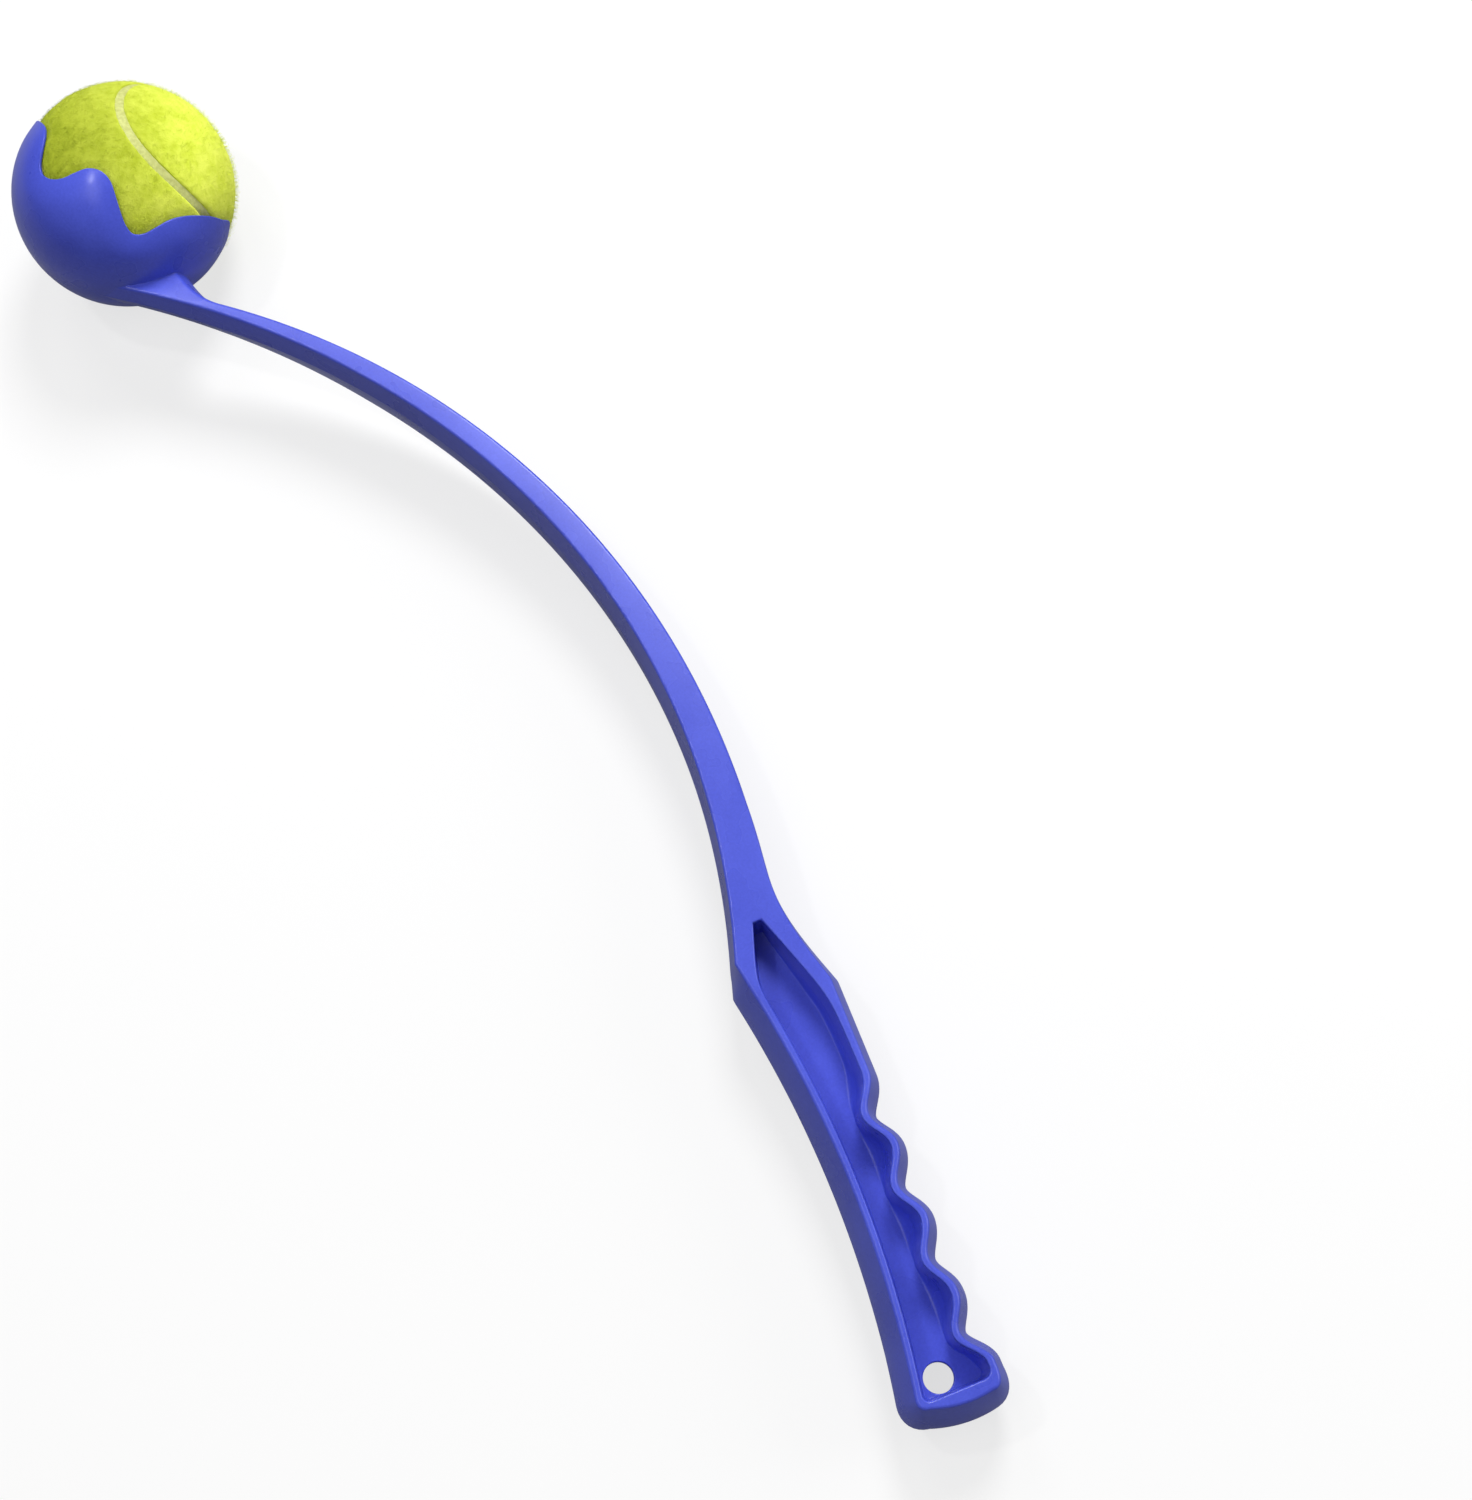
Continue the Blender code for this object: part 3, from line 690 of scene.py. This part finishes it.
moulding = makeMoulding()
moulding.data.materials.clear()
moulding.data.materials.append(polypropylene())
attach(moulding, "thrower")
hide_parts("thrower")
print("moulding made,", len(moulding.data.polygons), "faces")


# The ball: two felts with real fibres on them, and the rubber seam between them
ball = {
    "radius": 31.35,  # as the cup presses it
    "swell": 0.55,  # how much higher the felt stands where it is free
    "swellRun": (-0.6, 2.2),  # how far past the cup's rim it begins and ends to rise
    "leastHeight": 0.05,  # above the floor
    # the felt's colour is painted darker towards this way of the ball, a painted shade, and its fibres stand up
    # more on the other side
    "paintedShadeWay": (-1.0, 0.0, 0.0),
    "paintedShadeRun": (-24, 24),  # how far from the centre, that way, the felt's colour goes from its lit tints to its painted shade tints
    "fluff": 1.5,  # how much more the fibres stand up on the side away from the painted shade
    "turnDeg": (-3.0, -25.5, -27.5),
    "seamBend": 0.72,
    "tangentStep": 0.004,
    "panelRows": 150,
    "panelColumns": 44,
    "feltEdge": 1.25,  # from the seam's middle line
    "edgeRound": ((0.7, 0), (0.3, 0.1), (0.05, 0.4), (0, 0.9), (0, 2.6)),  # each row's inset and drop
    "cornerReach": 0.5,
    "ragged": 0.16,  # how far the felt's edge wanders
    "raggedSize": 1.3,
    "lump": 0.16,  # how high the felt's own unevenness is
    "lumpSize": 5.5,
    "seamSamples": 1440,
    "rootSeed": 7,
    "fibreSeed": 11,
    "fibres": 21000,
    "fibreClear": 0.1,  # from the felt's edge to the nearest root
    "fibreRoot": 0.1,  # how deep a fibre starts in the felt
    "fibreFloor": 0.02,  # and how far it stays above it
    "fibreLength": (0.7, 1.8),
    "fibreWidth": 0.075,
    "fibreLift": (0.1, 0.45),
    "cupLift": 0.25,  # all the lift that the cup leaves a fibre
    "fibreShares": (0.35, 0.7, 1),  # where along a fibre it has points
    "fibreTaper": (0.9, 0.7, 0.3),  # and its width there, as a share of the width at its root
    "fibreArch": 2,
    "fibreTwist": 0.7,
    "curlSpread": 0.35,
    "swirl": 9,  # radians by which the nap's lean wanders over the ball
    "swirlSize": 16,
    "swirlSeed": 3,
    "swirlSpread": 1.1,
    "seamHalf": 1.9,  # wider than the gap, so that its edges tuck under the felts
    "seamCrown": 0.2,
    "seamDrop": 0.5,
    "seamTuck": 0.5,
    "seamWave": 0.05,
    "seamWaveSize": 2.0,
    "seamSeed": 9,
    "seamSteps": 420,
    "seamAcross": 12,
    # lit and shaded copies of the felt's colour: the second pair is painted shade, mixed in towards one side of
    # the ball
    "feltLitTints": ("E2EE4A", "F4FC6A"),
    "feltShadedTints": ("82920A", "A2B018"),
    "sheenTint": "F6F7B0",
    "patchSize": 7,
    "tuftSize": 2.2,
    "napSize": 0.5,  # coarser than single fibres, so that it shows
    "napHeight": 0.5,
    "feltBump": 0.5,
    "seamTints": ("B9BD6C", "CDD184"),
    "dustSize": 1.2,
    "seamBump": 0.2,
    "coreTints": ("26262A", "55565A"),
    "talcSize": 3,
    "coreBump": 0.1,
}
ballTurn = Euler([math.radians(turn) for turn in ball["turnDeg"]]).to_matrix()
paintedShadeWay = Vector(ball["paintedShadeWay"]).normalized()


def seamPoint(turn):  # the seam's middle line, a closed curve that swings over the ball
    bend, rest = ball["seamBend"], 1 - ball["seamBend"]
    across = bend * math.cos(turn) + rest * math.cos(3 * turn)
    along = bend * math.sin(turn) - rest * math.sin(3 * turn)
    return Vector((across, along, 2 * math.sqrt(bend * rest) * math.sin(2 * turn))).normalized()


def seamWay(turn):
    step = ball["tangentStep"]
    return (seamPoint(turn + step) - seamPoint(turn - step)).normalized()


def besideSeam(turn, offset):
    middle = seamPoint(turn)
    along = seamWay(turn)
    angle = offset / ball["radius"]
    return math.cos(angle) * middle + math.sin(angle) * middle.cross(along)


def uneven(way, size, seed=0):
    return noise.noise(way * ball["radius"] / size + Vector((seed, 0, 0)))


def freeRadius(way):  # the felt's radius this way: low where the cup covers it, swelling past the cup's rim
    near, _, distance = rimTree.find(way)
    turn = math.degrees(math.atan2(way.dot(upWay), way.dot(armWay))) % 360
    rimAway = rimTrace[min(bisect.bisect(rimTurns, turn), len(rimTrace) - 1)].y
    past = distance * ball["radius"] * (1 if math.degrees(way.angle(mouthWay)) < rimAway else -1)
    low, high = ball["swellRun"]
    share = held((past - low) / (high - low))
    return ball["radius"] + ball["swell"] * share**2 * (3 - 2 * share)


def feltSheet(turn, seed):  # rows across the panel from seam to seam, its edge rounded down to the core
    rows, columns = ball["panelRows"], ball["panelColumns"]

    def edgeWay(place, inset):
        ragged = ball["ragged"] * uneven(seamPoint(place), ball["raggedSize"], seed)
        return besideSeam(place, ball["feltEdge"] + inset + ragged)

    def rowPlaces(step):
        place = -math.pi / 4 + math.pi * step / rows
        start, end = (edgeWay(p, ball["edgeRound"][0][0]) for p in (place, -math.pi / 2 - place))
        ways = [start.slerp(end, k / columns, start) for k in range(columns + 1)]
        lumps = [ball["lump"] * uneven(way, ball["lumpSize"], seed) for way in ways]
        ways = [turn @ way for way in ways]
        return [way * (freeRadius(way) + lump) for way, lump in zip(ways, lumps)]

    mesh = bmesh.new()
    row = firstRow(mesh, rowPlaces(0), closed=False)
    lefts, rights = [row[0]], [row[-1]]
    for step in range(1, rows + 1):
        row = pulled(mesh, row, rowPlaces(step), closed=False)
        lefts.append(row[0])
        rights.append(row[-1])
    turns = [-math.pi / 4 + math.pi * step / rows for step in range(rows + 1)]
    rim = list(zip(lefts, turns)) + [(v, -math.pi / 2 - p) for v, p in zip(rights[-2:0:-1], turns[-2:0:-1])]
    kept = {vert for vert, _ in rim}
    ends = [v for v in mesh.verts if v.is_boundary and v not in kept]
    for corner in (lefts[0], lefts[-1]):  # the first and last row are so short that each closes to a point
        near = [v for v in ends if v.is_valid and (v.co - corner.co).length < ball["cornerReach"]]
        bmesh.ops.pointmerge(mesh, verts=[corner] + near, merge_co=corner.co)
    row = [vert for vert, _ in rim]
    for inset, drop in ball["edgeRound"][1:]:
        ways = [turn @ edgeWay(place, inset) for _, place in rim]
        row = pulled(mesh, row, [way * (freeRadius(way) - drop) for way in ways])
    bmesh.ops.recalc_face_normals(mesh, faces=mesh.faces)
    return mesh


def fibreRoots():  # even over the sphere, sorted to the two felts, none on the seam
    chance = random.Random(ball["rootSeed"])
    samples = ball["seamSamples"]
    tree = kdtree.KDTree(samples)
    for i in range(samples):
        tree.insert(seamPoint(2 * math.pi * i / samples), i)
    tree.balance()
    roots = ([], [])
    for _ in range(ball["fibres"]):
        way = Vector([chance.gauss(0, 1) for _ in range(3)]).normalized()
        near, index, distance = tree.find(way)
        if distance * ball["radius"] < ball["feltEdge"] + ball["fibreClear"]:
            continue
        along = seamWay(2 * math.pi * index / samples)
        roots[0 if way.dot(near.cross(along)) > 0 else 1].append(way)
    return roots


def addFibres(mesh, roots):  # curved, tapering ribbons that lean with the nap, all drawn out together
    chance = random.Random(ball["fibreSeed"])
    starts, rows = [], ([], [], [])
    for way in roots:
        around = way.orthogonal().normalized()
        swirl = ball["swirl"] * uneven(way, ball["swirlSize"], ball["swirlSeed"])
        swirl += chance.gauss(0, ball["swirlSpread"])
        lean = math.cos(swirl) * around + math.sin(swirl) * way.cross(around)
        curl = way.cross(lean) * chance.gauss(0, ball["curlSpread"])
        length = chance.uniform(*ball["fibreLength"])
        fluff = max(0.0, -(ballTurn @ way).dot(paintedShadeWay)) * ball["fluff"]
        lift = length * chance.uniform(*ball["fibreLift"]) * (1 + fluff)
        radius = freeRadius(ballTurn @ way)
        if radius < ball["radius"] + ball["swell"] / 2:
            lift = min(lift, ball["cupLift"])
        twist = chance.uniform(-ball["fibreTwist"], ball["fibreTwist"])
        side = (way.cross(lean) + way * twist).normalized() * ball["fibreWidth"] / 2
        root = way * (radius - ball["fibreRoot"])
        starts += [ballTurn @ (root - side), ballTurn @ (root + side)]
        for row, share, thin in zip(rows, ball["fibreShares"], ball["fibreTaper"]):
            arch = lift * math.sin(share * ball["fibreArch"])
            point = root + length * share * (lean + share * curl) + arch * way
            point = point.normalized() * (radius + ball["fibreFloor"] + arch)
            row += [ballTurn @ (point - thin * side), ballTurn @ (point + thin * side)]
    row = [mesh.verts.new(place) for place in starts]
    for pair in zip(row[::2], row[1::2]):
        mesh.edges.new(pair)
    for places in rows:
        row = pulled(mesh, row, places, apart=True)


def seamStrip():  # a low crown between the felts, its edges tucked under them
    mesh = bmesh.new()
    across = ball["seamAcross"]

    def ring(step):
        turn = 2 * math.pi * step / ball["seamSteps"]
        places = []
        for k in range(across + 1):
            side = 2 * k / across - 1
            drop = ball["seamDrop"] + ball["seamCrown"] * side**2 + ball["seamTuck"] * side**8
            way = besideSeam(turn, side * ball["seamHalf"])
            wave = ball["seamWave"] * uneven(way, ball["seamWaveSize"], ball["seamSeed"])
            way = ballTurn @ way
            places.append(way * (freeRadius(way) - drop + wave))
        return places

    first = row = firstRow(mesh, ring(0), closed=False)
    for step in range(1, ball["seamSteps"]):
        row = pulled(mesh, row, ring(step), closed=False)
    ends = [[mesh.edges.get(pair) for pair in zip(line, line[1:])] for line in (first, row)]
    bmesh.ops.bridge_loops(mesh, edges=ends[0] + ends[1])
    return makePiece("seamStrip", mesh)


def woolFelt():  # woven wool and nylon nap: matt, dye uneven, with a painted shade that darkens it towards one side of the ball
    made, tree, place = startMaterial("woolFelt")
    centre = tuple(laid.translation)
    outwards = addNode(tree, "VectorMath", {0: place, 1: centre}, operation="SUBTRACT").outputs[0]
    shadeSide = tuple(laid.to_3x3() @ paintedShadeWay)
    dot = addNode(tree, "VectorMath", {0: outwards, 1: shadeSide}, operation="DOT_PRODUCT").outputs["Value"]
    # painted shade: the felt's colour goes from its lit tints to its shaded tints towards one side of the ball
    shadeShare = addNode(tree, "MapRange", {
        "Value": dot, "From Min": ball["paintedShadeRun"][0] * mm, "From Max": ball["paintedShadeRun"][1] * mm,
    }).outputs["Result"]
    patchScale = 1 / (ball["patchSize"] * mm)
    tuftScale = 1 / (ball["tuftSize"] * mm)
    napScale = 1 / (ball["napSize"] * mm)
    patch = addNode(tree, "TexNoise", {"Vector": place, "Scale": patchScale, "Detail": 3.0}).outputs["Fac"]
    tuft = addNode(tree, "TexNoise", {"Vector": place, "Scale": tuftScale, "Detail": 4.0}).outputs["Fac"]
    nap = addNode(tree, "TexNoise", {"Vector": place, "Scale": napScale, "Detail": 2.0}).outputs["Fac"]
    mixed = addNode(tree, "Math", {0: patch, 1: tuft}, operation="ADD").outputs[0]
    blend = addNode(tree, "MapRange", {"Value": mixed, "From Min": 0.75, "From Max": 1.25}).outputs["Result"]
    litTint = addNode(tree, "Mix", {"Factor": blend, **between(ball["feltLitTints"])}, data_type="RGBA")
    shadedTint = addNode(tree, "Mix", {"Factor": blend, **between(ball["feltShadedTints"])}, data_type="RGBA")
    tints = {"A": litTint.outputs["Result"], "B": shadedTint.outputs["Result"]}
    tint = addNode(tree, "Mix", {"Factor": shadeShare, **tints}, data_type="RGBA")
    height = addNode(tree, "Math", {0: nap, 1: ball["napHeight"]}, operation="MULTIPLY").outputs[0]
    height = addNode(tree, "Math", {0: tuft, 1: height}, operation="ADD").outputs[0]
    bump = addNode(tree, "Bump", {
        "Height": height, "Strength": 0.6, "Distance": ball["feltBump"] * mm,
    }).outputs["Normal"]
    shader = addNode(tree, "BsdfPrincipled", {
        "Base Color": tint.outputs["Result"], "Roughness": 0.95, "Normal": bump, "Specular IOR Level": 0.15,
        "Diffuse Roughness": 1.0, "Sheen Weight": 0.15, "Sheen Roughness": 0.5,
        "Sheen Tint": linear(ball["sheenTint"]),
    })
    closeMaterial(tree, shader.outputs["BSDF"])
    return made


def seamRubber():  # vulcanised rubber cement: pale, matt, slightly wavy, with felt dust on it
    made, tree, place = startMaterial("seamRubber")
    dustScale = 1 / (ball["dustSize"] * mm)
    dust = addNode(tree, "TexNoise", {"Vector": place, "Scale": dustScale, "Detail": 4.0}).outputs["Fac"]
    blend = addNode(tree, "MapRange", {"Value": dust, "From Min": 0.35, "From Max": 0.65}).outputs["Result"]
    tint = addNode(tree, "Mix", {"Factor": blend, **between(ball["seamTints"])}, data_type="RGBA")
    bump = addNode(tree, "Bump", {
        "Height": dust, "Strength": 0.4, "Distance": ball["seamBump"] * mm,
    }).outputs["Normal"]
    shader = addNode(tree, "BsdfPrincipled", {
        "Base Color": tint.outputs["Result"], "Roughness": 0.7, "Normal": bump, "IOR": 1.52,
    })
    closeMaterial(tree, shader.outputs["BSDF"])
    return made


def coreRubber():  # black natural rubber with a mould's satin and a dusting of talc
    made, tree, place = startMaterial("coreRubber")
    talcScale = 1 / (ball["talcSize"] * mm)
    talc = addNode(tree, "TexNoise", {"Vector": place, "Scale": talcScale, "Detail": 5.0}).outputs["Fac"]
    blend = addNode(tree, "MapRange", {"Value": talc, "From Min": 0.45, "From Max": 0.75}).outputs["Result"]
    tint = addNode(tree, "Mix", {"Factor": blend, **between(ball["coreTints"])}, data_type="RGBA")
    rough = addNode(tree, "MapRange", {"Value": talc, "To Min": 0.5, "To Max": 0.8}).outputs["Result"]
    bump = addNode(tree, "Bump", {
        "Height": talc, "Strength": 0.3, "Distance": ball["coreBump"] * mm,
    }).outputs["Normal"]
    shader = addNode(tree, "BsdfPrincipled", {
        "Base Color": tint.outputs["Result"], "Roughness": rough, "Normal": bump, "IOR": 1.52,
    })
    closeMaterial(tree, shader.outputs["BSDF"])
    return made


feltMaterial = woolFelt()
rootsOfPanels = fibreRoots()
for name, node, flip, seed, roots in zip(
    ("feltFront", "feltBack"), ("felt_panel_a", "felt_panel_b"), (0, 180), (0, 3), rootsOfPanels
):
    turn = ballTurn @ Matrix.Rotation(math.radians(flip), 3, "X")
    feltMesh = feltSheet(turn, seed)
    addFibres(feltMesh, roots)
    felt = makePiece(name, feltMesh, toFrame)
    for vert in felt.data.vertices:
        vert.co.z = max(vert.co.z, ball["leastHeight"] * mm)
    felt.data.materials.append(feltMaterial)
    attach(felt, "ball")
    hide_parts(node)
    print(name, "made,", len(felt.data.polygons), "faces")

seam = seamStrip()
seam.data.transform(toFrame)
seam.data.materials.append(seamRubber())
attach(seam, "ball")
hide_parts("felt_seam")
coreMaterial = coreRubber()
for node in ("ball_core_half_a", "ball_core_half_b"):
    for slot in frame["nodes"][node].material_slots:
        slot.material = coreMaterial
print("ball made")


# The camera, fitted to the photograph: place and axes in the thrower's plane, in metres
photoCamera = {
    "place": (0.17277, -0.4061, 0.82065),
    "right": (0.99993, 0.0, 0.01154),
    "up": (-0.00315, 0.96213, 0.27258),
    "lens": 72,
    "sensor": 36,
    "clipStart": 0.01,
}


def makeCamera():
    right = Vector(photoCamera["right"]).normalized()
    up = Vector(photoCamera["up"])
    up = (up - up.dot(right) * right).normalized()
    data = bpy.data.cameras.new("photoCamera")
    data.lens = photoCamera["lens"]
    data.sensor_width = photoCamera["sensor"]
    data.clip_start = photoCamera["clipStart"]
    camera = bpy.data.objects.new("photoCamera", data)
    bpy.context.scene.collection.objects.link(camera)
    turn = Matrix((right, up, right.cross(up))).transposed().to_4x4()
    camera.matrix_world = laid @ Matrix.Translation(photoCamera["place"]) @ turn
    bpy.context.scene.camera = camera


studio = {
    "floorSize": 4.0,
    "floorPaint": "F7F7F7",
    "floorBounce": "7A7A7C",  # the floor as it lights the object, darker so that its walls stay deep
    "floorGlow": 0.7,
    "fadeRun": (0.3, 0.9),  # metres from the middle over which the floor turns into the white around it
    "mirroredFloor": 0.1,
    "lamps": {  # degrees round from +X, degrees above the floor, distance, disc size and watts
        "keyLamp": (72, 48, 1.6, 0.5, 17),
        "farLamp": (110, 48, 1.6, 0.5, 3),
        "topLamp": (-150, 78, 1.6, 0.9, 3),
        "lobeLamp": (140, 70, 1.6, 0.1, 3),
        "sideLamp": (12, 26, 1.6, 0.8, 6),
    },
    "sky": 0.22,
    "mirroredSky": 0.08,
}


def makeFloor():  # pale matt paint that glows a little to the camera, so that its shadow stays light
    mesh = bmesh.new()
    bmesh.ops.create_grid(mesh, x_segments=1, y_segments=1, size=studio["floorSize"])
    floor = makePiece("studioFloor", mesh)
    made, tree, place = startMaterial("paintedFloor")
    path = addNode(tree, "LightPath").outputs
    glossy = {0: path["Is Glossy Ray"], 1: studio["mirroredFloor"]}
    mirrored = addNode(tree, "Math", glossy, operation="MULTIPLY").outputs[0]
    shown = addNode(tree, "Math", {0: path["Is Camera Ray"], 1: mirrored}, operation="MAXIMUM")
    reach = addNode(tree, "VectorMath", {0: place}, operation="LENGTH").outputs["Value"]
    fade = addNode(tree, "MapRange", {
        "Value": reach, "From Min": studio["fadeRun"][0], "From Max": studio["fadeRun"][1],
        "To Min": studio["floorGlow"], "To Max": 1.0,
    }).outputs["Result"]
    glow = addNode(tree, "Math", {0: shown.outputs[0], 1: fade}, operation="MULTIPLY")
    colours = {"A": linear(studio["floorBounce"]), "B": linear(studio["floorPaint"])}
    colour = addNode(tree, "Mix", {"Factor": shown.outputs[0], **colours}, data_type="RGBA")
    paint = addNode(tree, "BsdfDiffuse", {"Color": colour.outputs["Result"]}).outputs["BSDF"]
    white = addNode(tree, "Emission", {"Strength": 1.0}).outputs["Emission"]
    mixed = addNode(tree, "MixShader", {"Fac": glow.outputs[0], 1: paint, 2: white})
    closeMaterial(tree, mixed.outputs["Shader"])
    floor.data.materials.append(made)


def makeLamp(name, around, above, distance, size, power):
    data = bpy.data.lights.new(name, "AREA")
    data.shape = "DISK"
    data.size = size
    data.energy = power
    lamp = bpy.data.objects.new(name, data)
    bpy.context.scene.collection.objects.link(lamp)
    flat = heading(around) * math.cos(math.radians(above))
    lamp.location = distance * Vector((*flat, math.sin(math.radians(above))))
    lamp.rotation_mode = "QUATERNION"
    lamp.rotation_quaternion = lamp.location.to_track_quat("Z", "Y")


def makeWorld():  # white where the camera sees it, dim on the object and dark in its reflections
    world = bpy.data.worlds.new("studioWorld")
    bpy.context.scene.world = world
    world.use_nodes = True
    tree = world.node_tree
    tree.nodes.clear()
    path = addNode(tree, "LightPath").outputs
    levels = {"To Min": studio["sky"], "To Max": studio["mirroredSky"]}
    level = addNode(tree, "MapRange", {"Value": path["Is Glossy Ray"], **levels}).outputs["Result"]
    strength = addNode(tree, "Math", {0: level, 1: path["Is Camera Ray"]}, operation="MAXIMUM").outputs[0]
    sky = addNode(tree, "Background", {"Color": linear("FFFFFF"), "Strength": strength})
    addNode(tree, "OutputWorld", {"Surface": sky.outputs["Background"]})


makeCamera()
makeFloor()
for name, settings in studio["lamps"].items():
    makeLamp(name, *settings)
makeWorld()
bpy.context.scene.view_settings.view_transform = "Standard"
print("studio made")
